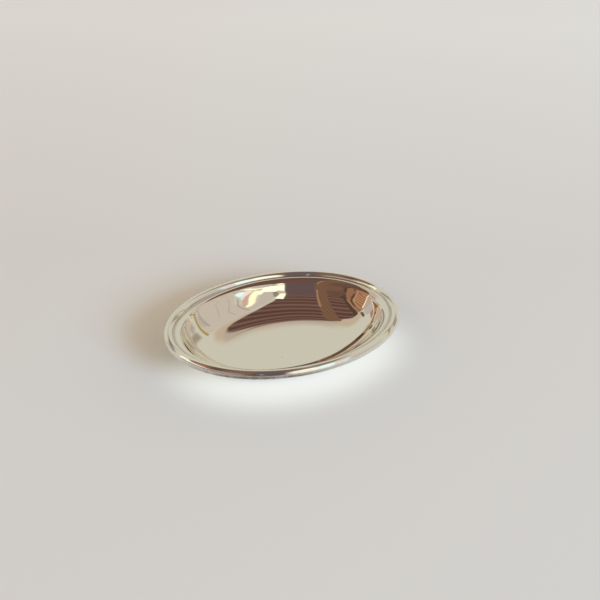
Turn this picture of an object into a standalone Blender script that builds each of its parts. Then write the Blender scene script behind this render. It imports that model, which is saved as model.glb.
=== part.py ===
"""An oval trinket dish: a pressed silver bowl with an applied rim wire, soldered on.

Every level of the dish is an oval. A section is drawn on the short side of the dish, as points of
(reach, height), where reach is the oval's half-width there. All ovals are longer than they are wide by
the same amount, so the rim keeps its width all the way round.
"""

import math

import bmesh
import bpy

# Overall size, in metres
LENGTH = 0.105
WIDTH = 0.075
HEIGHT = 0.0153

# Bowl, pressed from one sheet
SHEET = 0.0009
FLOOR_WIDTH = 0.028
FLANGE_FLAT = 0.0006
SHOULDER_RADIUS = 0.0035
GROOVE_DEPTH = 0.0014

# Rim wire, round, bent to the rim outside the flange
WIRE_DIAMETER = 0.004

# Soldered joints
SEAM_GAP = 0.0003
FILLET_RADIUS = 0.001
BUTT_JOINT = 0.0005
BUTT_JOINT_TURN = math.radians(90)

# Facets
OVAL_STEPS = 80
SHOULDER_STEPS = 5
WALL_STEPS = 10
WIRE_STEPS = 20
FILLET_STEPS = 3
BUTT_JOINT_STEPS = 2
SHARP_ANGLE = math.radians(40)

# Finishes: colour and roughness of bare polished metal
POLISHED_BOWL = ((0.87, 0.85, 0.81), 0.06)
POLISHED_WIRE = ((0.88, 0.86, 0.82), 0.05)
DRESSED_SOLDER = ((0.70, 0.68, 0.64), 0.30)

# Places that the sizes above give
WIRE_RADIUS = WIRE_DIAMETER / 2
WIRE_CENTRE = (WIDTH / 2 - WIRE_RADIUS, HEIGHT - WIRE_RADIUS)
FLANGE_REACH = WIDTH / 2 - WIRE_DIAMETER - SEAM_GAP
FLANGE_TOP = HEIGHT - GROOVE_DEPTH
FULL_TURN = 2 * math.pi


def clear_scene():
    for obj in list(bpy.data.objects):
        bpy.data.objects.remove(obj, do_unlink=True)


def metal(name, finish):
    """A bare metal material; finish is (colour, roughness)."""
    colour, roughness = finish
    material = bpy.data.materials.new(name)
    material.use_nodes = True
    shader = material.node_tree.nodes["Principled BSDF"]
    shader.inputs["Base Color"].default_value = (*colour, 1.0)
    shader.inputs["Roughness"].default_value = roughness
    shader.inputs["Metallic"].default_value = 1.0
    return material


def even_turns(start, sweep, steps):
    """Angles from start through sweep in even steps, with both ends."""
    return [start + sweep * i / steps for i in range(steps + 1)]


def arc(centre, radius, start, end, steps):
    """Section points on an arc; angles run from outward, reach, towards up, height."""
    angles = even_turns(start, end - start, steps)
    return [(centre[0] + radius * math.cos(a), centre[1] + radius * math.sin(a)) for a in angles]


def oval_point(reach, height, turn):
    """The point at this turn of the oval that the section point (reach, height) draws."""
    half_length = reach + (LENGTH - WIDTH) / 2
    return (half_length * math.cos(turn), reach * math.sin(turn), height)


def skin(mesh, rows, close_rows):
    """Quads between neighbouring rows of points, and from the last row to the first if close_rows."""
    pairs = list(zip(rows, rows[1:]))
    if close_rows:
        pairs.append((rows[-1], rows[0]))
    for row, following in pairs:
        for i in range(len(row)):
            j = (i + 1) % len(row)
            mesh.faces.new((row[i], row[j], following[j], following[i]))


def solid(name, rows, close_rows, finish):
    """One closed object from rows of points; open ends of the stack of rows get a flat face."""
    mesh = bmesh.new()
    rows = [[mesh.verts.new(point) for point in row] for row in rows]
    skin(mesh, rows, close_rows)
    if not close_rows:
        mesh.faces.new(rows[0])
        mesh.faces.new(rows[-1])
    bmesh.ops.recalc_face_normals(mesh, faces=mesh.faces)
    data = bpy.data.meshes.new(name)
    mesh.to_mesh(data)
    mesh.free()
    data.shade_smooth()
    data.set_sharp_from_angle(angle=SHARP_ANGLE)
    data.materials.append(metal(name, finish))
    obj = bpy.data.objects.new(name, data)
    bpy.context.scene.collection.objects.link(obj)
    return obj


def bowl_face(depth):
    """Section of the sheet at this depth below its upper face, from the floor's edge to the flange's.

    A convex shoulder arc and a concave wall arc, tangent to each other, to the floor and to the flange.
    """
    floor_reach = FLOOR_WIDTH / 2
    shoulder = (FLANGE_REACH - FLANGE_FLAT, FLANGE_TOP - SHOULDER_RADIUS)
    across = shoulder[0] - floor_reach
    rise = shoulder[1] - SHEET
    wall_radius = (across**2 + rise**2 - SHOULDER_RADIUS**2) / (2 * (rise + SHOULDER_RADIUS))
    wall = (floor_reach, SHEET + wall_radius)
    slope = math.asin(across / (wall_radius + SHOULDER_RADIUS))
    down = -math.pi / 2
    up = math.pi / 2
    points = arc(wall, wall_radius + depth, down, down + slope, WALL_STEPS)
    points += arc(shoulder, SHOULDER_RADIUS - depth, up + slope, up, SHOULDER_STEPS)[1:]
    points.append((FLANGE_REACH, FLANGE_TOP - depth))
    return points


def make_bowl():
    """The pressed bowl: upper face from the floor out to the flange, then back along the underside."""
    section = bowl_face(0) + bowl_face(SHEET)[::-1]
    turns = even_turns(0, FULL_TURN, OVAL_STEPS)[:-1]
    rows = [[oval_point(*point, turn) for turn in turns] for point in section]
    return solid("bowl", rows, False, POLISHED_BOWL)


def wire_solid(name, start, sweep, steps, finish):
    """A stretch of the round wire along the rim, with flat ends."""
    section = arc(WIRE_CENTRE, WIRE_RADIUS, 0, FULL_TURN, WIRE_STEPS)[:-1]
    turns = even_turns(start, sweep, steps)
    rows = [[oval_point(*point, turn) for point in section] for turn in turns]
    return solid(name, rows, False, finish)


def make_rim_wire():
    """The wire, bent to the rim, with room between its two ends for their butt joint."""
    half_opening = (BUTT_JOINT / 2 + SEAM_GAP) / (LENGTH / 2)
    start = BUTT_JOINT_TURN + half_opening
    return wire_solid("rim_wire", start, FULL_TURN - 2 * half_opening, OVAL_STEPS, POLISHED_WIRE)


def make_butt_joint():
    """The solder between the wire's ends, dressed flush with the wire."""
    half_joint = BUTT_JOINT / LENGTH
    start = BUTT_JOINT_TURN - half_joint
    return wire_solid("rim_wire_joint", start, 2 * half_joint, BUTT_JOINT_STEPS, DRESSED_SOLDER)


def make_rim_solder():
    """The solder fillet in the corner under the flange, rolled against the wire at the seam gap.

    Its hollow is an arc that touches the line of its top and the circle of its outer side.
    """
    top = FLANGE_TOP - SHEET - SEAM_GAP
    side_radius = WIRE_RADIUS + SEAM_GAP
    corner_angle = math.pi - math.asin((top - WIRE_CENTRE[1]) / side_radius)
    hollow_height = top - FILLET_RADIUS
    hollow_angle = math.pi - math.asin((hollow_height - WIRE_CENTRE[1]) / (side_radius + FILLET_RADIUS))
    hollow_reach = WIRE_CENTRE[0] + (side_radius + FILLET_RADIUS) * math.cos(hollow_angle)
    hollow = (hollow_reach, hollow_height)
    section = arc(WIRE_CENTRE, side_radius, corner_angle, hollow_angle, FILLET_STEPS)
    section += arc(hollow, FILLET_RADIUS, hollow_angle - math.pi, math.pi / 2, FILLET_STEPS)[1:]
    turns = even_turns(0, FULL_TURN, OVAL_STEPS)[:-1]
    rows = [[oval_point(*point, turn) for turn in turns] for point in section]
    return solid("rim_solder", rows, True, DRESSED_SOLDER)


def main():
    clear_scene()
    make_bowl()
    make_rim_wire()
    make_butt_joint()
    make_rim_solder()


main()
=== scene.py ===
"""Looks of an oval silver trinket dish: fine meshes, polished finishes and a studio stage.

The file is laid out as an add-on and run as a script. Every level of the dish is an oval. A section is
drawn on the short side of the dish as points of (reach, height), where reach is the oval's half-width.
"""

import math
from collections import namedtuple

import bmesh
import bpy
import numpy as np
from bpy.props import FloatProperty, FloatVectorProperty, PointerProperty
from mathutils import Matrix, Vector


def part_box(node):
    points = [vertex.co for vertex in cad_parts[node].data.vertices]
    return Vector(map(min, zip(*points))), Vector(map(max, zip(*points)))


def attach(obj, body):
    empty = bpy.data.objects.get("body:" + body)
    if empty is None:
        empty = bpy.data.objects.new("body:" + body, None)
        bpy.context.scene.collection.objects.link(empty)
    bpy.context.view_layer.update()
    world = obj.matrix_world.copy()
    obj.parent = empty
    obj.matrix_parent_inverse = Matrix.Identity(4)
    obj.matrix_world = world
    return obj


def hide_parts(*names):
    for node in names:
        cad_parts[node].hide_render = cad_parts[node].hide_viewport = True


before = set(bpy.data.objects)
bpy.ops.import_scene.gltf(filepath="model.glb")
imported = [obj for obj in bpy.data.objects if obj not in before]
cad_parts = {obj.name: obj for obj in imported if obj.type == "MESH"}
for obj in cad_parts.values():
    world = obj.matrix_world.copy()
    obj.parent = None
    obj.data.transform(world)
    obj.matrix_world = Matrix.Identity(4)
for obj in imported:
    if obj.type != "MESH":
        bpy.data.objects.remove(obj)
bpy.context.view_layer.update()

bl_info = {
    "name": "Trinket Dish",
    "version": (1, 0, 0),
    "blender": (4, 5, 0),
    "location": "3D View > Sidebar > Dish",
    "description": "Builds the polished pieces of an oval trinket dish around its packed frame",
    "category": "Object",
}

# Boxes that the frame gives: the wire and the bowl
WIRE_LOW, WIRE_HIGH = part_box("rim_wire")
BOWL_LOW, BOWL_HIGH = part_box("bowl")

# Facets of the fine meshes
OVAL_STEPS = 384
FLOOR_RINGS = 12
FOOT_STEPS = 24
WALL_STEPS = 56
SHOULDER_STEPS = 22
EDGE_STEPS = 4
WIRE_STEPS = 64
FILLET_STEPS = 12
JOINT_STEPS = 2
SHARP_ANGLE = math.radians(50)
FULL_TURN = 2 * math.pi
UP = math.pi / 2
DOWN = -math.pi / 2

# Course of the flange, rolled by hand: turn in degrees, then in millimetres how far it drops, its flat,
# the shoulder's radius and how far the wall's foot lies inward
RIM_COURSE = (
    (0, 0.0, 0.6, 3.5, 0.5),
    (90, 0.0, 0.6, 3.5, 0.0),
    (135, 0.7, 1.3, 2.0, 0.4),
    (180, 0.1, 0.6, 3.5, 1.5),
    (226, 0.6, 0.2, 2.0, 0.2),
    (281, 0.6, 0.2, 2.0, 0.0),
    (320, 0.0, 0.6, 3.5, -0.2),
    (360, 0.0, 0.6, 3.5, 0.5),
)
MILLIMETRES_IN_METRE = 1000
Rim = namedtuple("Rim", "top flat shoulder inset")

# Tarnish, 0 to 1, on the solder and on the wire beside it. Low on the wire, tarnish and painted shade,
# strongest round one stretch at the front of the rim, standing for the dark reflection under the rim
SEAM_FILM = 0.4
WIRE_SEAM_FILM = 0.2
LOW_SHADE_START = 0.42
LOW_SHADE_MOST = 0.6
FRONT_SHADE_LEAST = 0.15
FRONT_SHADE_GAIN = 2.2
FRONT_SHADE_MIDDLE = math.radians(244)
FRONT_SHADE_SPREAD = math.radians(34)

# Hand-raised metal is never quite true: shallow waves of (length, direction, phase), all sunk inward
RIPPLE_WAVES = ((0.011, 0.4, 0.3), (0.017, 2.1, 1.9), (0.008, 1.2, 4.0), (0.023, 2.8, 5.2))

# Polish: scales are per metre, turns in radians set the layers of hairlines apart, and a range is where
# noise goes from none to full
HAIRLINE_TURNS = (0.35, 1.25, 2.5)
HAIRLINE_STRETCH = (0.03, 1.0, 1.0)
HAIRLINE_RANGE = (0.60, 0.75)
PATCH_SCALE = 140.0
PATCH_RANGE = (0.35, 0.65)
CLOUD_SCALE = 60.0
CLOUD_RANGE = (0.3, 0.7)
CLOUD_HAZE = 0.3
# Tarnish and painted shade: noise that breaks the mask up, its least share, and the roughness it adds
FILM_AND_SHADE_SCALE = 350.0
FILM_AND_SHADE_RANGE = (0.2, 0.75)
FILM_AND_SHADE_LEAST = 0.6
FILM_AND_SHADE_ROUGHNESS = 0.25
SPECK_RANGE = (0.7, 1.0)
SPECK_ROUGHNESS = 0.4
WIRE_COARSENESS = 1.4

# Photograph's viewpoint, from the rim's ellipse: place in metres, angles, lens in millimetres
CAMERA_PLACE = (-0.107864, -0.313864, 0.250662)
CAMERA_YAW = math.radians(20.154)
CAMERA_PITCH = math.radians(34.279)
CAMERA_ROLL = math.radians(1.2)
CAMERA_LENS = 56.16
CAMERA_SENSOR = 36.0
CAMERA_CLIP = 0.01

# The tents, domes that only the metal's reflections see
TENT_RINGS = 184
TENT_COLUMNS = 720
TENT_LEAN = math.radians(92)

# Key light: bearing from the camera's side to the right, rise, distance and size
KEY_BEARING = math.radians(50)
KEY_RISE = math.radians(24)
KEY_DISTANCE = 3.0
KEY_WIDTH = 1.5
KEY_HEIGHT = 1.0

# Sines of the rise between which the light from the sides gives way to that from overhead
OVERHEAD_RANGE = (0.45, 0.85)

# Floor: size, drop under the dish, roughness, and the distances from the dish between which painted
# light pales it
FLOOR_SIZE = 6.0
FLOOR_DROP = 0.00002
FLOOR_ROUGHNESS = 0.9
FLOOR_NEAR = 0.08
FLOOR_FAR = 0.45

# The strip of light under the rim: section, and where it lies round the oval
SKIRT_SECTION = ((0.0225, 0.0020), (0.027, 0.0046), (0.033, 0.0078), (0.0395, 0.0115))
SKIRT_MIDDLE = math.radians(272)
SKIRT_SPREAD = math.radians(110)
SKIRT_STEPS = 64
SKIRT_FADE = 4


def size(name, description, default):
    """A length property in metres."""
    return FloatProperty(
        name=name, description=description, default=default, min=0, unit="LENGTH", subtype="DISTANCE",
        precision=5,
    )


def colour(name, description, default):
    """A linear colour property."""
    return FloatVectorProperty(
        name=name, description=description, default=default, size=3, min=0, max=1, subtype="COLOR",
    )


def share(name, description, default):
    """A number property from 0 to 1."""
    return FloatProperty(
        name=name, description=description, default=default, min=0, max=1, subtype="FACTOR",
    )


def strength(name, description, default):
    """A light's strength."""
    return FloatProperty(name=name, description=description, default=default, min=0)


class DishSizes(bpy.types.PropertyGroup):
    """Sizes of the dish; the frame gives those that it holds."""

    length: size("Length", "Outside of the rim, end to end", WIRE_HIGH.x - WIRE_LOW.x)
    width: size("Width", "Outside of the rim, side to side", WIRE_HIGH.y - WIRE_LOW.y)
    height: size("Height", "Underside to the rim's crest", WIRE_HIGH.z - BOWL_LOW.z)
    wire: size("Rim wire", "Diameter of the round rim wire", WIRE_HIGH.z - WIRE_LOW.z)
    flange_top: size("Flange height", "Underside to the flange's upper face", BOWL_HIGH.z)
    flange_reach: size("Flange reach", "Half-width at the flange's edge", BOWL_HIGH.y)
    sheet: size("Sheet", "Thickness of the sheet", 0.0009)
    floor_reach: size("Floor reach", "Half-width of the part of the floor that is quite flat", 0.0065)
    foot_reach: size("Foot reach", "Half-width where the wall starts to rise", 0.0151)
    foot_tilt: FloatProperty(
        name="Foot tilt", description="Slope of the floor where the wall starts", default=math.radians(5),
        min=math.radians(0.5), unit="ROTATION", subtype="ANGLE",
    )
    edge: size("Edge radius", "Broken edge of the flange", 0.00012)
    groove: size("Groove radius", "Hollow of the solder above the flange", 0.0004)
    fillet: size("Fillet radius", "Hollow of the solder under the flange", 0.001)
    joint: size("Wire joint", "Solder left between the wire's ends", 0.0001)
    ripple: size("Ripple", "Depth of the waves that handwork leaves", 0.000004)


class DishFinish(bpy.types.PropertyGroup):
    """Colours and polish of the metal."""

    silver: colour("Silver", "Polished sheet and wire", (0.955, 0.935, 0.87))
    solder: colour("Solder", "Dressed solder", (0.86, 0.83, 0.76))
    # Brown of the tarnish in the groove; laid low on the wire, the same brown is painted shade
    tarnish_and_shade: colour("Tarnish", "Brown film in the groove and under the rim", (0.18, 0.14, 0.115))
    dust: colour("Dust", "Specks that lie on the metal", (0.42, 0.39, 0.34))
    polish: share("Polish", "Roughness of the buffed metal", 0.03)
    haze: share("Haze", "Roughness that fine marks add", 0.05)
    # How much film is left: tarnish, and low on the wire and its joint also painted shade
    tarnish_and_shade_amount: share("Tarnish amount", "How much of the film is left", 0.42)
    wire_tarnish_and_shade: share("Wire tarnish", "How much of the film is left on the wire", 1.0)


class DishStage(bpy.types.PropertyGroup):
    """Floor and light."""

    floor: colour("Floor", "Pale matt floor", (0.78, 0.78, 0.795))
    # Painted light: the floor's colour well behind the dish, paler and bluer
    far_floor_painted_light: colour("Far floor", "Floor well behind the dish", (0.91, 0.935, 0.98))
    room: colour("Room", "Pale surroundings", (0.605, 0.58, 0.49))
    sides: colour("Sides", "Light from near the level", (0.934, 0.823, 0.61))
    overhead: colour("Overhead", "Light from overhead", (0.20, 0.145, 0.11))
    ambient: strength("Ambient", "Strength of the light from all round", 1.3)
    key: FloatProperty(
        name="Key light", description="Power of the soft light", default=70.0, min=0, unit="POWER",
    )
    key_colour: colour("Key colour", "Colour of the soft light", (0.47, 0.71, 1.0))
    skirt: colour("Glow", "Colour of the glow under the rim", (1.0, 0.975, 0.83))
    skirt_strength: strength("Glow strength", "Strength of the glow under the rim", 0.95)


# Sections and meshes

def arc(centre, radius, start, end, steps):
    """Section points on an arc; angles run from outward, reach, towards up, height."""
    angles = np.linspace(start, end, steps + 1)
    return np.column_stack((centre[0] + radius * np.cos(angles), centre[1] + radius * np.sin(angles)))


def oval(sizes, points, turns):
    """Section points, the same all round or given for each turn, carried round: (point, turn, xyz)."""
    if points.ndim == 2:
        points = np.repeat(points[:, None], len(turns), axis=1)
    reach, height = points[..., 0], points[..., 1]
    half_length = reach + (sizes.length - sizes.width) / 2
    return np.stack((half_length * np.cos(turns), reach * np.sin(turns), height), axis=-1)


def full_turns():
    return np.linspace(0, FULL_TURN, OVAL_STEPS, endpoint=False)


def eased(way):
    """A way from 0 to 1, made to start and end gently."""
    return way * way * (3 - 2 * way)


def disc_rings(ring, count):
    """Rings inside a flat oval ring, from next to its middle outward."""
    scales = np.linspace(0, 1, count + 2)[1:-1]
    return np.stack([ring * (scale, scale, 1) for scale in scales])


def grid_faces(rows, columns, close_rows, close_columns):
    """Quads of a grid of vertices numbered row by row."""
    faces = []
    for row in range(rows if close_rows else rows - 1):
        below = (row + 1) % rows
        for column in range(columns if close_columns else columns - 1):
            beside = (column + 1) % columns
            faces.append((
                row * columns + column, row * columns + beside,
                below * columns + beside, below * columns + column,
            ))
    return faces


def mesh_object(name, points, faces, tarnish_and_shade_weight):
    """A smooth closed mesh, normals out, with tarnish and painted shade, 0 to 1, at each vertex."""
    mesh = bpy.data.meshes.new(name)
    mesh.from_pydata(points.reshape(-1, 3).tolist(), [], faces)
    layer = mesh.attributes.new("tarnish_and_shade_weight", "FLOAT", "POINT")
    layer.data.foreach_set("value", tarnish_and_shade_weight.astype(np.float32).ravel())
    build = bmesh.new()
    build.from_mesh(mesh)
    bmesh.ops.recalc_face_normals(build, faces=build.faces)
    build.to_mesh(mesh)
    build.free()
    mesh.shade_smooth()
    mesh.set_sharp_from_angle(angle=SHARP_ANGLE)
    obj = bpy.data.objects.new(name, mesh)
    bpy.context.scene.collection.objects.link(obj)
    return obj


def sink_ripple(obj, depth):
    """Sinks the surface along its normals by shallow waves, never outward."""
    mesh = obj.data
    count = len(mesh.vertices)
    places = np.empty(count * 3)
    normals = np.empty(count * 3)
    mesh.vertices.foreach_get("co", places)
    mesh.vertices.foreach_get("normal", normals)
    places = places.reshape(-1, 3)
    normals = normals.reshape(-1, 3)
    wave = np.zeros(count)
    for span, direction, phase in RIPPLE_WAVES:
        along = places[:, 0] * math.cos(direction) + places[:, 1] * math.sin(direction)
        wave += np.sin(FULL_TURN * along / span + phase)
    sink = depth * (wave / len(RIPPLE_WAVES) - 1)
    mesh.vertices.foreach_set("co", (places + normals * sink[:, None]).ravel())
    mesh.update()


def rims(sizes, turns):
    """The flange's height, its flat, the shoulder's radius and the foot's inset at each turn."""
    course = np.array(RIM_COURSE)
    along = np.degrees(turns) % 360
    knot = np.searchsorted(course[:, 0], along, side="right") - 1
    start, end = course[knot], course[knot + 1]
    way = eased((along - start[:, 0]) / (end[:, 0] - start[:, 0]))[:, None]
    drop, flat, shoulder, inset = ((start + way * (end - start))[:, 1:] / MILLIMETRES_IN_METRE).T
    return [Rim(*values) for values in zip(sizes.flange_top - drop, flat, shoulder, inset)]


def bowl_face(sizes, rim, depth):
    """Section of the sheet at this depth below its upper face, from the floor's edge to the flange.

    Three arcs, each tangent to the next: the gentle foot, the concave wall and the convex shoulder.
    """
    foot_radius = (sizes.foot_reach - sizes.floor_reach) / math.sin(sizes.foot_tilt)
    foot = np.array((sizes.floor_reach - rim.inset, sizes.sheet + foot_radius))
    shoulder = np.array((sizes.flange_reach - rim.flat, rim.top - rim.shoulder))
    inward = np.array((-math.sin(sizes.foot_tilt), math.cos(sizes.foot_tilt)))
    wall_start = foot - foot_radius * inward
    across = shoulder - wall_start
    wall_radius = (across @ across - rim.shoulder**2) / (2 * (across @ inward + rim.shoulder))
    wall = wall_start + wall_radius * inward
    slope = math.asin((shoulder - wall)[0] / (wall_radius + rim.shoulder))
    gentle = arc(foot, foot_radius + depth, DOWN, DOWN + sizes.foot_tilt, FOOT_STEPS)
    concave = arc(wall, wall_radius + depth, DOWN + sizes.foot_tilt, DOWN + slope, WALL_STEPS)
    rounded = arc(shoulder, rim.shoulder - depth, UP + slope, UP, SHOULDER_STEPS)
    return np.vstack((gentle, concave[1:], rounded[1:]))


def bowl_section(sizes, rim):
    """The sheet's whole section: upper face outward, broken edge, underside back to the floor."""
    edge = sizes.edge
    edge_reach = sizes.flange_reach - edge
    upper_corner = arc((edge_reach, rim.top - edge), edge, UP, 0, EDGE_STEPS)
    lower_corner = arc((edge_reach, rim.top - sizes.sheet + edge), edge, 0, DOWN, EDGE_STEPS)
    upper, lower = bowl_face(sizes, rim, 0), bowl_face(sizes, rim, sizes.sheet)
    return np.vstack((upper, upper_corner, lower_corner, lower[::-1]))


def wire_centre(sizes):
    radius = sizes.wire / 2
    return (sizes.width / 2 - radius, sizes.height - radius)


def nearness(points, place, span):
    """1 at a section place, falling to 0 at span from it."""
    distance = np.hypot(points[..., 0] - place[0], points[..., 1] - place[1])
    return np.clip(1 - distance / span, 0, 1)


# Shader node groups

class Nodes:
    """Short calls for building a node tree."""

    def __init__(self, tree):
        self.tree = tree

    def add(self, kind, **settings):
        node = self.tree.nodes.new(kind)
        for name, value in settings.items():
            setattr(node, name, value)
        return node

    def link(self, source, target):
        self.tree.links.new(source, target)

    def put(self, value, socket):
        """A link where value is a socket, or else the socket's own value."""
        if isinstance(value, bpy.types.NodeSocket):
            self.link(value, socket)
        else:
            socket.default_value = value

    def maths(self, operation, first, second=0.0):
        node = self.add("ShaderNodeMath", operation=operation)
        self.put(first, node.inputs[0])
        self.put(second, node.inputs[1])
        return node.outputs[0]

    def ramp(self, value, low, high, smooth=True):
        """Value spread from low..high to 0..1."""
        node = self.add("ShaderNodeMapRange")
        node.interpolation_type = "SMOOTHSTEP" if smooth else "LINEAR"
        self.put(value, node.inputs["Value"])
        node.inputs["From Min"].default_value = low
        node.inputs["From Max"].default_value = high
        return node.outputs["Result"]

    def noise(self, place, scale, detail=2.0, roughness=0.5):
        node = self.add("ShaderNodeTexNoise")
        self.put(place, node.inputs["Vector"])
        self.put(scale, node.inputs["Scale"])
        node.inputs["Detail"].default_value = detail
        node.inputs["Roughness"].default_value = roughness
        return node.outputs["Fac"]

    def stretched(self, place, turn, stretch):
        """Places stretched, and then turned about Z."""
        node = self.add("ShaderNodeMapping")
        self.put(place, node.inputs["Vector"])
        node.inputs["Rotation"].default_value = (0, 0, turn)
        node.inputs["Scale"].default_value = stretch
        return node.outputs["Vector"]

    def blend(self, mask, low, high):
        """Colour low where mask is 0, high where it is 1."""
        node = self.add("ShaderNodeMix", data_type="RGBA")
        self.put(mask, node.inputs["Factor"])
        self.put(low, node.inputs["A"])
        self.put(high, node.inputs["B"])
        return node.outputs["Result"]


def new_group(name, inputs, outputs):
    """A shader group with float sockets; gives its tree, input node and output node."""
    tree = bpy.data.node_groups.new(name, "ShaderNodeTree")
    for socket, default in inputs:
        made = tree.interface.new_socket(socket, in_out="INPUT", socket_type="NodeSocketFloat")
        made.default_value = default
    for socket in outputs:
        tree.interface.new_socket(socket, in_out="OUTPUT", socket_type="NodeSocketFloat")
    nodes = Nodes(tree)
    return nodes, nodes.add("NodeGroupInput"), nodes.add("NodeGroupOutput")


def polishing_marks():
    """Hairlines that polishing leaves along the dish, in three layers, and the cloudiness under them."""
    nodes, given, result = new_group(
        "Polishing marks", [("Fineness", 900.0), ("Density", 0.5)], ["Hairlines", "Cloud"],
    )
    place = nodes.add("ShaderNodeTexCoord").outputs["Object"]
    lines = None
    for turn in HAIRLINE_TURNS:
        run = nodes.stretched(place, turn, HAIRLINE_STRETCH)
        fine = nodes.noise(run, given.outputs["Fineness"], detail=3.0, roughness=0.6)
        line = nodes.ramp(fine, *HAIRLINE_RANGE)
        lines = line if lines is None else nodes.maths("MAXIMUM", lines, line)
    cloud = nodes.noise(place, CLOUD_SCALE, detail=3.0, roughness=0.55)
    patchy = nodes.ramp(nodes.noise(place, PATCH_SCALE), *PATCH_RANGE)
    kept = nodes.maths("MULTIPLY", lines, nodes.maths("MULTIPLY", patchy, given.outputs["Density"]))
    nodes.link(kept, result.inputs["Hairlines"])
    nodes.link(nodes.ramp(cloud, *CLOUD_RANGE), result.inputs["Cloud"])
    return nodes.tree


def tarnish_and_shade_film():
    """Tarnish that polishing can't reach, and painted shade: as strong as the mesh says, broken up by
    noise.
    """
    nodes, given, result = new_group("Tarnish and painted shade", [("Amount", 0.5)], ["Film"])
    place = nodes.add("ShaderNodeTexCoord").outputs["Object"]
    tarnish_and_shade_weight = nodes.add("ShaderNodeAttribute", attribute_name="tarnish_and_shade_weight").outputs["Fac"]
    broken = nodes.ramp(nodes.noise(place, FILM_AND_SHADE_SCALE, detail=4.0, roughness=0.6), *FILM_AND_SHADE_RANGE)
    kept = nodes.maths("ADD", nodes.maths("MULTIPLY", broken, 1 - FILM_AND_SHADE_LEAST), FILM_AND_SHADE_LEAST)
    tarnish_and_shade_mask = nodes.maths("MULTIPLY", tarnish_and_shade_weight, kept)
    nodes.link(nodes.maths("MULTIPLY", tarnish_and_shade_mask, given.outputs["Amount"]), result.inputs["Film"])
    return nodes.tree


def dust_specks():
    """Sparse specks of uneven size."""
    nodes, given, result = new_group("Dust specks", [("Spread", 300.0), ("Size", 0.10)], ["Specks"])
    place = nodes.add("ShaderNodeTexCoord").outputs["Object"]
    cells = nodes.add("ShaderNodeTexVoronoi")
    nodes.link(place, cells.inputs["Vector"])
    nodes.link(given.outputs["Spread"], cells.inputs["Scale"])
    chance = nodes.add("ShaderNodeSeparateColor")
    nodes.link(cells.outputs["Color"], chance.inputs["Color"])
    uneven = nodes.ramp(chance.outputs["Red"], *SPECK_RANGE)
    reach = nodes.maths("MULTIPLY", uneven, given.outputs["Size"])
    inside = nodes.maths("LESS_THAN", cells.outputs["Distance"], reach)
    nodes.link(inside, result.inputs["Specks"])
    return nodes.tree


GROUP_MAKERS = {
    "Polishing marks": polishing_marks,
    "Tarnish and painted shade": tarnish_and_shade_film,
    "Dust specks": dust_specks,
}


def place_group(nodes, name, **values):
    """A node that holds the named group, which is built the first time."""
    node = nodes.add("ShaderNodeGroup")
    node.node_tree = bpy.data.node_groups.get(name) or GROUP_MAKERS[name]()
    for socket, value in values.items():
        node.inputs[socket].default_value = value
    return node


def polished_metal(name, finish, base, tarnish_and_shade, fineness, density, coarseness=1.0):
    """Bare polished metal: hairlines, cloudy polish, tarnish in recesses, painted shade, specks of dust."""
    material = bpy.data.materials.new(name)
    material.use_nodes = True
    nodes = Nodes(material.node_tree)
    shader = material.node_tree.nodes["Principled BSDF"]
    shader.inputs["Metallic"].default_value = 1.0
    marks = place_group(nodes, "Polishing marks", Fineness=fineness, Density=density)
    tarnish_and_shade_mask = place_group(nodes, "Tarnish and painted shade", Amount=tarnish_and_shade).outputs["Film"]
    specks = place_group(nodes, "Dust specks").outputs["Specks"]
    # Base colour: tarnish, and on the wire also painted shade, blended in by the mask
    tarnished_and_shaded = nodes.blend(tarnish_and_shade_mask, (*base, 1), (*finish.tarnish_and_shade, 1))
    nodes.link(nodes.blend(specks, tarnished_and_shaded, (*finish.dust, 1)), shader.inputs["Base Color"])
    cloud = nodes.maths("MULTIPLY", marks.outputs["Cloud"], CLOUD_HAZE)
    worn = nodes.maths("ADD", marks.outputs["Hairlines"], cloud)
    rough = nodes.maths("ADD", nodes.maths("MULTIPLY", worn, finish.haze), finish.polish * coarseness)
    for mask, added in ((tarnish_and_shade_mask, FILM_AND_SHADE_ROUGHNESS), (specks, SPECK_ROUGHNESS)):
        rough = nodes.maths("ADD", rough, nodes.maths("MULTIPLY", mask, added))
    nodes.link(rough, shader.inputs["Roughness"])
    return material


def dish_settings(context):
    """Sizes and finish of the pieces."""
    return context.scene.dish_sizes, context.scene.dish_finish


def dress(obj, material, node):
    """Gives a finished piece its material and its place in the frame."""
    obj.data.materials.append(material)
    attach(obj, "root")
    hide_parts(node)


# Operators, one for each piece and one for the stage

def bowl_faces(rows):
    """Faces of the bowl's rows, closed at the floor's middle, above and below."""
    faces = grid_faces(rows, OVAL_STEPS, False, True)
    upper_middle = rows * OVAL_STEPS
    last_row = upper_middle - OVAL_STEPS
    for column in range(OVAL_STEPS):
        beside = (column + 1) % OVAL_STEPS
        faces.append((upper_middle, beside, column))
        faces.append((upper_middle + 1, last_row + column, last_row + beside))
    return faces


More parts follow.
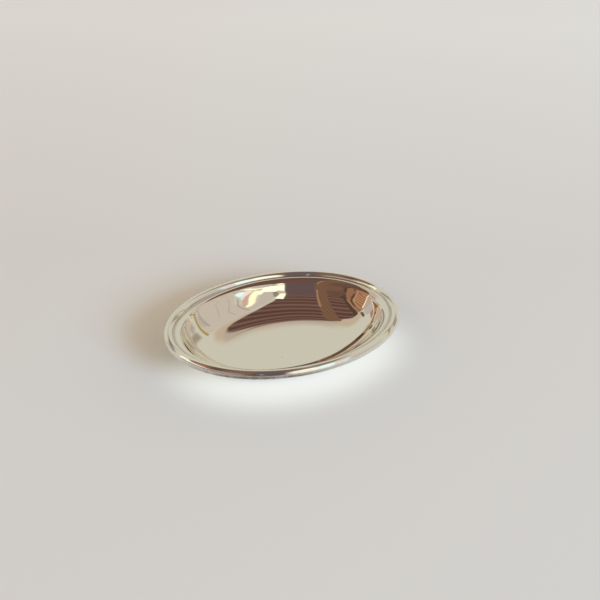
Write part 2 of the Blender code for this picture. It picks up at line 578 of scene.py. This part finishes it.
class DISH_OT_bowl(bpy.types.Operator):
    """Makes the pressed bowl with its floor, wall, shoulder and flange"""

    bl_idname = "dish.bowl"
    bl_label = "Bowl"

    def execute(self, context):
        sizes, finish = dish_settings(context)
        turns = full_turns()
        course = rims(sizes, turns)
        sections = np.stack([bowl_section(sizes, rim) for rim in course], axis=1)
        sheet = oval(sizes, sections, turns)
        floor = disc_rings(sheet[0], FLOOR_RINGS)
        under = disc_rings(sheet[-1], FLOOR_RINGS)[::-1]
        rows = np.vstack((floor, sheet, under))
        middles = np.array([(0, 0, sizes.sheet), (0, 0, 0)])
        points = np.vstack((rows.reshape(-1, 3), middles))
        flange_edge = (sizes.flange_reach, np.array([rim.top for rim in course]))
        groove = nearness(sections, flange_edge, sizes.sheet)
        level = np.zeros((FLOOR_RINGS, OVAL_STEPS))
        tarnish_and_shade_weight = np.append(np.vstack((level, groove, level)), (0, 0))
        bowl = mesh_object("bowl_sheet", points, bowl_faces(len(rows)), tarnish_and_shade_weight)
        sink_ripple(bowl, sizes.ripple)
        metal = polished_metal(
            "Silver sheet", finish, finish.silver, finish.tarnish_and_shade_amount, fineness=900.0, density=0.5,
        )
        dress(bowl, metal, "bowl")
        return {"FINISHED"}


def wire_film_and_shade(sizes, section, turns):
    """At each turn and section point: a tarnish trace by the flange and painted shade low on the wire."""
    seam = WIRE_SEAM_FILM * nearness(section, (sizes.flange_reach, sizes.flange_top), sizes.wire / 4)
    # Painted shade low on the wire, strongest round the front, for the dark reflection under the rim
    low = np.clip((wire_centre(sizes)[1] - section[:, 1]) / sizes.wire + LOW_SHADE_START, 0, LOW_SHADE_MOST)
    stretch = np.exp(-(((turns % FULL_TURN) - FRONT_SHADE_MIDDLE) / FRONT_SHADE_SPREAD) ** 2)[:, None]
    front_shade = FRONT_SHADE_LEAST + FRONT_SHADE_GAIN * stretch
    return np.clip(np.maximum(seam, front_shade * low), 0, 1)


def half_joint(sizes):
    """Half of the turn that the joint between the wire's ends takes up."""
    return sizes.joint / sizes.length


def wire_stretch(name, sizes, start, end, steps):
    """A stretch of the round wire along the rim, with flat ends."""
    section = arc(wire_centre(sizes), sizes.wire / 2, 0, FULL_TURN, WIRE_STEPS)[:-1]
    turns = np.linspace(start, end, steps + 1)
    rows = oval(sizes, section, turns).transpose(1, 0, 2)
    faces = grid_faces(len(rows), WIRE_STEPS, False, True)
    last = (len(rows) - 1) * WIRE_STEPS
    faces.append(tuple(range(WIRE_STEPS)))
    faces.append(tuple(range(last, last + WIRE_STEPS)))
    return mesh_object(name, rows, faces, wire_film_and_shade(sizes, section, turns))


class DISH_OT_rim_wire(bpy.types.Operator):
    """Makes the round wire that is bent to the rim"""

    bl_idname = "dish.rim_wire"
    bl_label = "Rim wire"

    def execute(self, context):
        sizes, finish = dish_settings(context)
        start = UP + half_joint(sizes)
        end = UP + FULL_TURN - half_joint(sizes)
        wire = wire_stretch("rim_wire_round", sizes, start, end, OVAL_STEPS)
        sink_ripple(wire, sizes.ripple)
        metal = polished_metal(
            "Silver wire", finish, finish.silver, finish.wire_tarnish_and_shade, fineness=1200.0, density=0.4,
            coarseness=WIRE_COARSENESS,
        )
        dress(wire, metal, "rim_wire")
        return {"FINISHED"}


class DISH_OT_wire_joint(bpy.types.Operator):
    """Makes the solder between the wire's two ends, dressed flush"""

    bl_idname = "dish.wire_joint"
    bl_label = "Wire joint"

    def execute(self, context):
        sizes, finish = dish_settings(context)
        start = UP - half_joint(sizes)
        end = UP + half_joint(sizes)
        joint = wire_stretch("rim_wire_solder_joint", sizes, start, end, JOINT_STEPS)
        sink_ripple(joint, sizes.ripple)
        metal = polished_metal(
            "Dressed joint", finish, finish.solder, finish.tarnish_and_shade_amount, fineness=1200.0, density=0.6,
        )
        dress(joint, metal, "rim_wire_joint")
        return {"FINISHED"}


def fillet(sizes, height, radius, side):
    """Hollow of a fillet between the wire and a face of the flange; side is 1 above it and -1 below it.

    Gives the hollow's points from the wire to the flange, and the angle round the wire where it starts.
    """
    centre = wire_centre(sizes)
    hollow_height = height + side * radius
    reach = sizes.wire / 2 + radius
    angle = math.pi - math.asin((hollow_height - centre[1]) / reach)
    hollow = (centre[0] + reach * math.cos(angle), hollow_height)
    return arc(hollow, radius, angle - math.pi, -side * UP, FILLET_STEPS), angle


def seam_section(sizes, rim):
    """The solder's section: hollow above, flange's edge, hollow below, then back along the wire."""
    flange_under = rim.top - sizes.sheet
    groove, groove_angle = fillet(sizes, rim.top, sizes.groove, 1)
    under, under_angle = fillet(sizes, flange_under, sizes.fillet, -1)
    flange = [(sizes.flange_reach, rim.top), (sizes.flange_reach, flange_under)]
    contact = arc(wire_centre(sizes), sizes.wire / 2, under_angle, groove_angle, FILLET_STEPS)
    return np.vstack((groove, flange, under[::-1], contact[1:-1]))


class DISH_OT_solder_seam(bpy.types.Operator):
    """Makes the solder that joins the flange to the wire, hollow above and below"""

    bl_idname = "dish.solder_seam"
    bl_label = "Solder seam"

    def execute(self, context):
        sizes, finish = dish_settings(context)
        turns = full_turns()
        sections = np.stack([seam_section(sizes, rim) for rim in rims(sizes, turns)], axis=1)
        rows = oval(sizes, sections, turns)
        faces = grid_faces(len(rows), OVAL_STEPS, True, True)
        seam = mesh_object("rim_solder_seam", rows, faces, np.full(rows.shape[:2], SEAM_FILM))
        metal = polished_metal(
            "Dressed solder", finish, finish.solder, finish.tarnish_and_shade_amount, fineness=1500.0, density=0.8,
        )
        dress(seam, metal, "rim_solder")
        return {"FINISHED"}


# Stage: places on a tent are degrees off the zenith, to the right of the camera and away from it

# The slats hang on a level plane: pitch, skew and start as shares of its height, and its span of degrees
SLAT_PITCH = 0.22
SLAT_SKEW = 0.15
SLAT_START = 0.069
SLAT_LEANS = (0.01, 80)

# Tone of the slats: the least, what their own shades add, and the streak and the gap in shares of a slat
SLAT_TONE = 0.75
SLAT_SHADES = 0.25
SLAT_SHADE_STEP = 0.618
STREAK_WIDTH = 0.12
STREAK_GAIN = 0.7
GAP_WIDTH = 0.08
GAP_LOSS = 0.3

# Stripes of the ribbed and the grained cards: pitch in degrees, skew and depth of tone
RIB_PITCH = 6.0
RIB_SKEW = 0.4
RIB_DEPTH = 0.4
GRAIN_PITCH = 3.2
GRAIN_SKEW = 0.06
GRAIN_DEPTH = 0.14

# Softness of every line's edges, in degrees
LINE_SOFTNESS = 0.4


def slats(places):
    """Tone of a flat slatted canopy: each slat has its own shade and a light streak."""
    lean = np.radians(np.clip(np.hypot(places[:, 0], places[:, 1]), *SLAT_LEANS))
    flat = places * (np.tan(lean) / np.degrees(lean))[:, None]
    run = (flat[:, 1] + SLAT_SKEW * flat[:, 0] - SLAT_START) / SLAT_PITCH
    number = np.floor(run)
    across = run - number
    streak = np.exp(-((across - 0.5) / STREAK_WIDTH) ** 2)
    gap = np.exp(-(np.minimum(across, 1 - across) / GAP_WIDTH) ** 2)
    shade = SLAT_SHADES * ((number * SLAT_SHADE_STEP) % 1)
    return SLAT_TONE + shade + STREAK_GAIN * streak - GAP_LOSS * gap


def stripes(places, pitch, skew, depth):
    """Tone of soft stripes that run away from the camera, with some skew."""
    return 1 + depth * np.sin(FULL_TURN * (places[:, 0] + skew * places[:, 1]) / pitch)


def ribs(places):
    return stripes(places, RIB_PITCH, RIB_SKEW, RIB_DEPTH)


def grain(places):
    return stripes(places, GRAIN_PITCH, GRAIN_SKEW, GRAIN_DEPTH)


def plain(places):
    return np.ones(len(places))


Card = namedtuple("Card", "name colour softness outline tone", defaults=(plain,))
Line = namedtuple("Line", "name colour width route")
Tent = namedtuple("Tent", "name radius clear cards lines pieces")

# What the bowl mirrors
BOWL_CARDS = (
    Card("upper wash", (0.54, 0.44, 0.33), 4.0, (
        (-54, 14), (-30, 32), (0, 46.5), (20, 38), (31, 25), (30, -5.5), (12, -11), (-40, -11),
    )),
    Card("fringe", (0.47, 0.39, 0.32), 2.0, (
        (-30, 18), (-16, 22), (-10, 28), (-2, 42), (1, 47), (4, 44), (12, 35), (22, 22), (14, 20),
    )),
    Card("right wash", (0.58, 0.50, 0.43), 2.0, (
        (26, -25), (27, 7), (36, 27), (85.5, 24), (98.5, -1), (99.5, -50), (67, -51.5), (50.5, -29),
    )),
    Card("lilac wash", (0.48, 0.43, 0.38), 3.0, ((48, 14), (56, 20), (66, 20), (78, 16), (78, 8), (60, 8))),
    Card("canopy", (0.148, 0.078, 0.061), 0.8, (
        (0.2, 40), (1, 43.8), (2, 41.5), (3.4, 38), (8, 34.3), (11, 32.2), (16.5, 27.5), (22, 20),
        (23.6, 13), (23.8, 5), (23.8, -20), (22.5, -32), (24.5, -40), (27.5, -71.5), (31, -100),
        (-65, -99.5), (-51, -62), (-44, -47), (-39.5, -30), (-43, -10), (-44, 8), (-41, 11), (-30, 17),
        (-16, 20.5), (-9, 27),
    ), slats),
    Card("dark side", (0.09, 0.052, 0.037), 1.0, (
        (-43, 9), (-36, 12), (-34, -5), (-34, -35), (-30, -45), (-40, -45), (-38.5, -30), (-42, -10),
    )),
    Card("dark end", (0.128, 0.083, 0.083), 1.0, (
        (-5.5, -42.5), (20, -43.5), (27.5, -71.5), (31, -102), (-11, -103),
    )),
    Card("brown end", (0.15, 0.078, 0.053), 2.0, (
        (-15.5, -52), (-11, -103), (-65, -101.5), (-52, -64), (-44.5, -51.5),
    )),
    Card("low front", (0.182, 0.096, 0.067), 3.0, (
        (-10, -62), (-45, -58), (-62, -70), (-60, -95), (-8, -100),
    )),
    Card("dark gap", (0.095, 0.053, 0.035), 2.0, (
        (-43, -48), (-50, -53), (-57, -66), (-50, -74), (-44, -62),
    )),
    Card("beam", (0.187, 0.101, 0.061), 0.5, (
        (-4.5, -105), (-4.5, -1.5), (-1.5, 35), (-10.5, 28.5), (-13.5, -5), (-15, -36.5), (-17.5, -68.5),
        (-16.5, -102),
    ), grain),
    Card("warm card", (0.30, 0.152, 0.088), 0.8, (
        (-38.5, -30), (-43, -8), (-46, 6), (-54.5, 6), (-76.5, -2.5), (-89.5, -2), (-89, -34.5),
        (-74, -53.5), (-54.5, -62.5), (-44, -50),
    )),
    Card("warm shade", (0.10, 0.05, 0.03), 1.0, (
        (-47.5, -12), (-44.5, -12), (-43.5, -28), (-50, -38), (-62, -46), (-60, -40), (-49, -31),
        (-46.5, -26),
    )),
    Card("ribbed card", (0.38, 0.196, 0.11), 0.6, (
        (-51, -30), (-54, -12), (-58, -2), (-79, -13), (-83.5, -13), (-81.5, -30.5), (-72, -42.5),
    ), ribs),
    Card("pale strip", (0.50, 0.38, 0.28), 0.8, (
        (-56, 5), (-59, -1), (-80, -10), (-90, -10), (-90, 8), (-62, 8),
    )),
    Card("grey end", (0.50, 0.44, 0.41), 1.2, (
        (-55, 11), (-62, 8), (-90, 8), (-98, 24), (-85, 32), (-66, 30), (-58, 26),
    )),
    Card("dark corner", (0.10, 0.08, 0.065), 1.2, (
        (-48.5, 8), (-54, 11), (-54, 20), (-50, 26), (-47.5, 22),
    )),
    Card("warm corner", (0.36, 0.235, 0.16), 0.8, (
        (-66, 30), (-80, 30), (-73, 41), (-58.5, 48.5), (-60, 42),
    )),
    Card("tan side", (0.36, 0.295, 0.225), 4.0, (
        (43, 40), (54, 38), (59, 43), (57, 54), (50, 80), (36, 88), (34, 78), (44, 58),
    )),
    Card("left shade", (0.44, 0.38, 0.315), 5.0, (
        (60, 42), (67, 35), (78, 36), (80, 47), (70, 53), (59, 50),
    )),
    Card("low left", (0.30, 0.255, 0.20), 3.0, (
        (-8.5, 72), (-20, 69), (-34, 63), (-46, 55), (-60, 60), (-52, 78), (-20, 92), (-9, 92),
    )),
    Card("soft box", (1.2, 1.16, 0.90), 0.5, (
        (18, -34.5), (24.3, -36.8), (24.3, -47), (25, -52), (31, -56.5), (39, -56.5), (39.5, -50),
        (44, -50), (45, -62), (43, -91), (30, -91), (27.3, -75), (22.8, -58), (19.4, -48),
    )),
    Card("box shade", (0.58, 0.50, 0.36), 0.8, ((20.5, -51), (25, -50), (30, -57), (29, -60), (22, -57.5))),
    Card("grey pane", (0.56, 0.49, 0.43), 0.6, (
        (25, -24.5), (31, -23.5), (34, -33), (38, -45), (40.5, -56), (31.5, -56), (28, -47), (25.2, -38),
    )),
    Card("notch", (0.28, 0.23, 0.18), 0.6, (
        (24.6, -42), (26.5, -42), (28.5, -47), (32, -55), (29, -56.5), (26, -52),
    )),
    Card("yellow pane", (1.12, 1.07, 0.72), 0.6, (
        (32.5, -21.5), (34, -19.3), (35.5, -20.5), (39, -27), (43, -33), (46, -40), (48.5, -48),
        (50, -60), (44, -60), (41, -47), (38, -38.5), (34.2, -30),
    )),
    Card("pink pane", (0.62, 0.41, 0.33), 0.7, (
        (36.5, -21.5), (38.5, -22.5), (44, -31), (48, -37), (51, -46), (51.5, -56), (49.5, -54),
        (47, -46), (43.5, -38.5), (40, -32), (37, -26),
    )),
    Card("white pane", (0.88, 0.80, 0.78), 1.0, (
        (48, -37), (52, -41), (56, -46), (58, -52), (54, -62), (51, -56), (51, -46),
    )),
    Card("blue pane", (0.78, 1.05, 1.05), 1.0, (
        (55, -44), (60, -45.5), (66, -49), (66, -53), (60, -58), (56, -52),
    )),
)
BOWL_LINES = (
    Line("beam edge", (0.36, 0.21, 0.135), 1.5, ((-6.5, -62), (-5.7, -40), (-5.5, -12))),
    Line("ribbed edge", (0.52, 0.28, 0.16), 2.2, (
        (-55, 4), (-51, -10), (-49.5, -22), (-51, -30), (-73, -43.5),
    )),
    Line("warm edge", (0.42, 0.22, 0.135), 2.2, ((-45, 4), (-42, -10), (-39.5, -32))),
    Line("light bar", (1.2, 1.05, 0.85), 2.2, ((-85, -13), (-75, -8.5), (-66, -4), (-59, -0.5))),
    Line("ochre line", (0.39, 0.30, 0.105), 4.6, (
        (38, 30), (46, 28.5), (54, 27.2), (62, 25.2), (72, 22.7), (84, 20),
    )),
    Line("grey line", (0.36, 0.315, 0.28), 1.8, ((48, 13), (60, 11.5), (72, 10.5), (86, 8))),
    Line("thin line", (0.40, 0.33, 0.28), 1.2, (
        (29, -12), (35, -17), (40, -21), (45, -26), (50, -34), (55, -40),
    )),
    Line("thin line", (0.46, 0.39, 0.33), 1.0, (
        (34, -6), (43, -11), (48, -17), (53, -25), (58, -31), (66, -38),
    )),
    Line("thin line", (0.48, 0.41, 0.36), 1.0, ((46.5, -2.5), (58.5, -14), (70.5, -21.5), (77.5, -37.5))),
)

# What the wire and its solder mirror
WIRE_CARDS = (
    Card("right wash", (0.56, 0.505, 0.46), 4.0, (
        (30, -2), (60, 12), (92, 8), (92, -40), (70, -58), (45, -22),
    )),
    Card("left wash", (0.527, 0.476, 0.42), 5.0, ((-35, 30), (-60, 42), (-92, 35), (-92, 5), (-60, 12))),
    Card("grey band", (0.22, 0.20, 0.18), 3.0, (
        (-9, 54), (-25, 48), (-41, 40), (-52, 31), (-64, 18), (-58, 12), (-47, 21), (-36, 33), (-20, 42),
    )),
    Card("fringe", (0.24, 0.205, 0.175), 3.0, (
        (4, 42), (12, 38), (20, 20), (24, 5), (26, -9), (20, -19), (15, -20), (8, 22),
    )),
    Card("canopy", (0.205, 0.125, 0.092), 1.5, (
        (0, 36), (4, 33), (9, 20), (13, 5), (15, -10), (16, -25), (16, -38), (19, -45), (28, -95),
        (-55, -95), (-66, -40), (-66, -26), (-52, -14), (-42, -2), (-36, 9), (-26, 19), (-14, 31),
        (-5, 37),
    )),
    Card("warm side", (0.37, 0.21, 0.14), 4.0, (
        (-24, 8), (-38, 2), (-52, -16), (-66, -28), (-66, -42), (-56, -48), (-40, -30), (-28, -10),
    )),
    Card("dark streak", (0.128, 0.082, 0.063), 3.0, (
        (-8, 30), (-13, 5), (-19, -20), (-28, -50), (-38, -58), (-34, -40), (-27, -15), (-20, 5),
        (-12, 28),
    )),
    Card("dark end", (0.133, 0.105, 0.108), 2.0, (
        (0, 20), (5, 15), (9, -5), (13, -25), (17, -45), (24, -70), (32, -95), (-6, -95), (-5, -60),
        (-4, -30), (-3, 0),
    )),
    Card("tan front", (0.40, 0.31, 0.26), 3.0, (
        (-14, -44), (-24, -38), (-40, -36), (-56, -50), (-60, -62), (-40, -82), (-18, -90), (-10, -70),
    )),
    Card("white bar", (1.1, 1.08, 0.9), 1.5, (
        (-42, 12), (-52, 4), (-68, -4), (-70, -10), (-61, -8), (-61, -16), (-57, -28), (-53, -38),
        (-48, -46), (-40, -42), (-43, -32), (-45, -22), (-46, -12), (-45, -4), (-40, 1), (-34, 4),
        (-36, 9),
    )),
    Card("soft box", (1.1, 1.07, 0.93), 1.2, (
        (19, -19), (18.5, -30), (20, -43), (23, -58), (31, -76), (38, -86), (58, -72), (50, -58),
        (40, -42), (31, -27), (26, -16), (22, -13),
    )),
    Card("pale pane", (0.95, 1.07, 1.05), 1.5, (
        (26, -8), (33, -12), (47, -30), (62, -50), (74, -68), (58, -72), (46, -55), (36, -38), (28, -20),
    )),
    Card("pink pane", (0.85, 0.72, 0.66), 1.5, (
        (33, -9), (36, -10), (49, -24), (61, -38), (75, -52), (73, -57), (58, -43), (46, -29),
    )),
    Card("blue pane", (0.74, 0.80, 0.83), 2.0, (
        (36, -7), (44, -10), (56, -23), (68, -35), (82, -50), (78, -54), (64, -41), (52, -28), (42, -16),
    )),
    Card("olive side", (0.35, 0.30, 0.235), 3.0, (
        (14, 54), (34, 51), (56, 50), (74, 48), (74, 38), (54, 38), (34, 41), (20, 47),
    )),
)
WIRE_LINES = (
    Line("ochre line", (0.394, 0.302, 0.131), 3.5, (
        (15, 47), (28, 41), (42, 34), (58, 28), (72, 24), (88, 21),
    )),
    Line("yellow line", (0.60, 0.48, 0.30), 4.0, ((-62, -8), (-70, -14), (-84, -20))),
    Line("shade line", (0.34, 0.27, 0.20), 7.0, (
        (-70, -18), (-75, -26), (-71, -35), (-62, -49), (-55, -60),
    )),
    Line("light streak", (0.62, 0.50, 0.42), 4.0, ((-46, -38), (-36, -55), (-28, -75))),
    Line("glint", (0.60, 0.56, 0.55), 1.2, ((1, -40), (3, -60), (5, -92))),
)

# The inner tent is clear, so that the bowl sees past it to its own
TENTS = (
    Tent("bowl_tent", 2.6, False, BOWL_CARDS, BOWL_LINES, ("bowl_sheet",)),
    Tent("wire_tent", 2.5, True, WIRE_CARDS, WIRE_LINES, (
        "rim_wire_round", "rim_wire_solder_joint", "rim_solder_seam",
    )),
)


def tent_axes():
    """Level directions to the right of the camera and away from it."""
    right = Vector((math.cos(CAMERA_YAW), -math.sin(CAMERA_YAW), 0))
    away = Vector((math.sin(CAMERA_YAW), math.cos(CAMERA_YAW), 0))
    return right, away


def route_distance(places, route):
    """Distance from each place to a route of straight pieces."""
    nearest = np.full(len(places), np.inf)
    for start, end in zip(route, route[1:]):
        side = np.subtract(end, start)
        offset = places - start
        along = np.clip(offset @ side / (side @ side), 0, 1)
        nearest = np.minimum(nearest, np.linalg.norm(offset - along[:, None] * side, axis=1))
    return nearest


def outline_depth(places, outline):
    """How far each place lies inside a closed outline, negative outside it."""
    route = (*outline, outline[0])
    inside = np.zeros(len(places), bool)
    for start, end in zip(route, route[1:]):
        crosses = (start[1] > places[:, 1]) != (end[1] > places[:, 1])
        rise = (end[1] - start[1]) or 1
        side = start[0] + (places[:, 1] - start[1]) * (end[0] - start[0]) / rise
        inside ^= crosses & (places[:, 0] < side)
    distance = route_distance(places, route)
    return np.where(inside, distance, -distance)


def laid_over(colours, depth, softness, shade):
    """Colours with a shade laid over them where depth is positive, through a soft edge."""
    cover = eased(np.clip(depth / (2 * softness) + 0.5, 0, 1))[:, None]
    return colours * (1 - cover) + shade * cover


def tent_colours(places, room, cards, lines):
    """Colour of a tent at each place: the pale room with the cards and lines laid over it."""
    colours = np.tile(np.array(room), (len(places), 1))
    for card in cards:
        shade = np.array(card.colour) * card.tone(places)[:, None]
        colours = laid_over(colours, outline_depth(places, card.outline), card.softness, shade)
    for line in lines:
        depth = line.width / 2 - route_distance(places, line.route)
        colours = laid_over(colours, depth, LINE_SOFTNESS, np.array(line.colour))
    return colours


def show_to(obj, diffuse, glossy):
    """Hides a stage light from the camera, and from all other rays but those named."""
    obj.visible_camera = False
    obj.visible_diffuse = diffuse
    obj.visible_glossy = glossy
    obj.visible_transmission = False
    obj.visible_volume_scatter = False
    obj.visible_shadow = False


def glowing(name, clear):
    """A material that glows in its mesh's colours; a clear one lets rays through as well."""
    material = bpy.data.materials.new(name)
    material.use_nodes = True
    nodes = Nodes(material.node_tree)
    material.node_tree.nodes.remove(material.node_tree.nodes["Principled BSDF"])
    glow = nodes.add("ShaderNodeEmission")
    painted = nodes.add("ShaderNodeAttribute", attribute_name="glow")
    nodes.link(painted.outputs["Color"], glow.inputs["Color"])
    surface = glow.outputs["Emission"]
    if clear:
        both = nodes.add("ShaderNodeAddShader")
        nodes.link(surface, both.inputs[0])
        nodes.link(nodes.add("ShaderNodeBsdfTransparent").outputs["BSDF"], both.inputs[1])
        surface = both.outputs["Shader"]
    nodes.link(surface, material.node_tree.nodes["Material Output"].inputs["Surface"])
    return material


def glowing_object(name, points, faces, colours, clear=False):
    """A stage mesh that glows in the colours of its points."""
    mesh = bpy.data.meshes.new(name)
    mesh.from_pydata(points.reshape(-1, 3).tolist(), [], faces)
    layer = mesh.attributes.new("glow", "FLOAT_COLOR", "POINT")
    colours = np.column_stack((colours, np.ones(len(colours))))
    layer.data.foreach_set("color", colours.astype(np.float32).ravel())
    mesh.materials.append(glowing(name, clear))
    obj = bpy.data.objects.new(name, mesh)
    bpy.context.scene.collection.objects.link(obj)
    return obj


def light_only(lamp, pieces):
    """Keeps a stage light to the named pieces."""
    lit = bpy.data.collections.new(lamp.name)
    for piece in pieces:
        lit.objects.link(bpy.data.objects[piece])
    lamp.light_linking.receiver_collection = lit


def make_tent(tent, room):
    """A dome that its own pieces mirror."""
    leans = np.linspace(0, TENT_LEAN, TENT_RINGS + 1)[1:]
    bearings = np.linspace(0, FULL_TURN, TENT_COLUMNS, endpoint=False)
    lean, bearing = [grid.ravel() for grid in np.meshgrid(leans, bearings, indexing="ij")]
    places = np.degrees(lean)[:, None] * np.column_stack((np.sin(bearing), np.cos(bearing)))
    right, away = tent_axes()
    level = np.sin(bearing)[:, None] * np.array(right) + np.cos(bearing)[:, None] * np.array(away)
    points = tent.radius * (np.sin(lean)[:, None] * level + np.cos(lean)[:, None] * np.array((0, 0, 1)))
    faces = grid_faces(TENT_RINGS, TENT_COLUMNS, False, True)
    faces.append(tuple(range(TENT_COLUMNS)))
    colours = tent_colours(places, room, tent.cards, tent.lines)
    dome = glowing_object(tent.name, points, faces, colours, tent.clear)
    show_to(dome, False, True)
    light_only(dome, tent.pieces)


def make_skirt(sizes, stage):
    """A curved strip of light under the rim's front: the glow that bright metal throws on the floor."""
    turns = np.linspace(SKIRT_MIDDLE - SKIRT_SPREAD, SKIRT_MIDDLE + SKIRT_SPREAD, SKIRT_STEPS + 1)
    points = oval(sizes, np.array(SKIRT_SECTION), turns)
    fade = 1 - np.abs((turns - SKIRT_MIDDLE) / SKIRT_SPREAD) ** SKIRT_FADE
    colours = np.tile(fade[:, None] * np.array(stage.skirt), (len(SKIRT_SECTION), 1)) * stage.skirt_strength
    faces = grid_faces(len(SKIRT_SECTION), len(turns), False, False)
    show_to(glowing_object("skirt", points, faces, colours), True, False)


def make_floor(stage):
    """A large matt floor just under the dish; painted light makes it paler well behind it."""
    bpy.ops.mesh.primitive_plane_add(size=FLOOR_SIZE, location=(0, 0, -FLOOR_DROP))
    floor = bpy.context.object
    floor.name = "floor"
    material = bpy.data.materials.new("Matt floor")
    material.use_nodes = True
    shader = material.node_tree.nodes["Principled BSDF"]
    nodes = Nodes(material.node_tree)
    turned = nodes.stretched(nodes.add("ShaderNodeTexCoord").outputs["Object"], CAMERA_YAW, (1, 1, 1))
    away = nodes.add("ShaderNodeSeparateXYZ")
    nodes.link(turned, away.inputs["Vector"])
    # Painted light: the floor pales between these distances behind the dish
    painted_light_far = nodes.ramp(away.outputs["Y"], FLOOR_NEAR, FLOOR_FAR, smooth=False)
    nodes.link(nodes.blend(painted_light_far, (*stage.floor, 1), (*stage.far_floor_painted_light, 1)), shader.inputs["Base Color"])
    shader.inputs["Roughness"].default_value = FLOOR_ROUGHNESS
    shader.inputs["Specular IOR Level"].default_value = 0.0
    floor.data.materials.append(material)


def make_world(stage):
    """Light from all round: pale near the level, dark overhead."""
    world = bpy.data.worlds.new("Studio")
    world.use_nodes = True
    nodes = Nodes(world.node_tree)
    background = world.node_tree.nodes["Background"]
    height = nodes.add("ShaderNodeSeparateXYZ")
    nodes.link(nodes.add("ShaderNodeTexCoord").outputs["Generated"], height.inputs["Vector"])
    overhead = nodes.ramp(height.outputs["Z"], *OVERHEAD_RANGE)
    nodes.link(nodes.blend(overhead, (*stage.sides, 1), (*stage.overhead, 1)), background.inputs["Color"])
    background.inputs["Strength"].default_value = stage.ambient
    bpy.context.scene.world = world


def make_key(stage):
    """One large soft light from the right, on the camera's side."""
    right, away = tent_axes()
    level = right * math.sin(KEY_BEARING) - away * math.cos(KEY_BEARING)
    place = KEY_DISTANCE * (level * math.cos(KEY_RISE) + Vector((0, 0, math.sin(KEY_RISE))))
    lamp = bpy.data.lights.new("key", "AREA")
    lamp.shape = "RECTANGLE"
    lamp.size = KEY_WIDTH
    lamp.size_y = KEY_HEIGHT
    lamp.color = stage.key_colour
    lamp.energy = stage.key
    key = bpy.data.objects.new("key", lamp)
    bpy.context.scene.collection.objects.link(key)
    key.location = place
    key.rotation_euler = (-place).to_track_quat("-Z", "Y").to_euler()
    key.visible_glossy = False


def make_camera():
    """The photograph's viewpoint."""
    right, away = tent_axes()
    forward = away * math.cos(CAMERA_PITCH) - Vector((0, 0, math.sin(CAMERA_PITCH)))
    up = right.cross(forward)
    across = right * math.cos(CAMERA_ROLL) + up * math.sin(CAMERA_ROLL)
    upright = up * math.cos(CAMERA_ROLL) - right * math.sin(CAMERA_ROLL)
    data = bpy.data.cameras.new("camera")
    data.lens = CAMERA_LENS
    data.sensor_width = CAMERA_SENSOR
    data.clip_start = CAMERA_CLIP
    camera = bpy.data.objects.new("camera", data)
    turn = Matrix((across, upright, -forward)).transposed().to_4x4()
    camera.matrix_world = Matrix.Translation(CAMERA_PLACE) @ turn
    bpy.context.scene.collection.objects.link(camera)
    bpy.context.scene.camera = camera


class DISH_OT_stage(bpy.types.Operator):
    """Makes the floor, the light, the tents that the metal mirrors and the camera"""

    bl_idname = "dish.stage"
    bl_label = "Stage"

    def execute(self, context):
        stage = context.scene.dish_stage
        make_floor(stage)
        make_world(stage)
        make_key(stage)
        make_skirt(context.scene.dish_sizes, stage)
        for tent in TENTS:
            make_tent(tent, stage.room)
        make_camera()
        context.scene.view_settings.view_transform = "Standard"
        return {"FINISHED"}


OPERATORS = (DISH_OT_bowl, DISH_OT_rim_wire, DISH_OT_wire_joint, DISH_OT_solder_seam, DISH_OT_stage)
SETTINGS = {"dish_sizes": DishSizes, "dish_finish": DishFinish, "dish_stage": DishStage}


class DISH_PT_panel(bpy.types.Panel):
    """Lists the dish's sizes, finishes and pieces"""

    bl_idname = "DISH_PT_panel"
    bl_label = "Trinket Dish"
    bl_space_type = "VIEW_3D"
    bl_region_type = "UI"
    bl_category = "Dish"

    def draw(self, context):
        layout = self.layout
        for name, group in SETTINGS.items():
            box = layout.box()
            for prop in group.__annotations__:
                box.prop(getattr(context.scene, name), prop)
        for operator in OPERATORS:
            layout.operator(operator.bl_idname)


CLASSES = (*SETTINGS.values(), *OPERATORS, DISH_PT_panel)


def register():
    for item in CLASSES:
        bpy.utils.register_class(item)
    for name, group in SETTINGS.items():
        setattr(bpy.types.Scene, name, PointerProperty(type=group))


def unregister():
    for name in SETTINGS:
        delattr(bpy.types.Scene, name)
    for item in reversed(CLASSES):
        bpy.utils.unregister_class(item)


def main():
    register()
    bpy.ops.dish.bowl()
    bpy.ops.dish.rim_wire()
    bpy.ops.dish.wire_joint()
    bpy.ops.dish.solder_seam()
    bpy.ops.dish.stage()


if __name__ == "__main__":
    main()
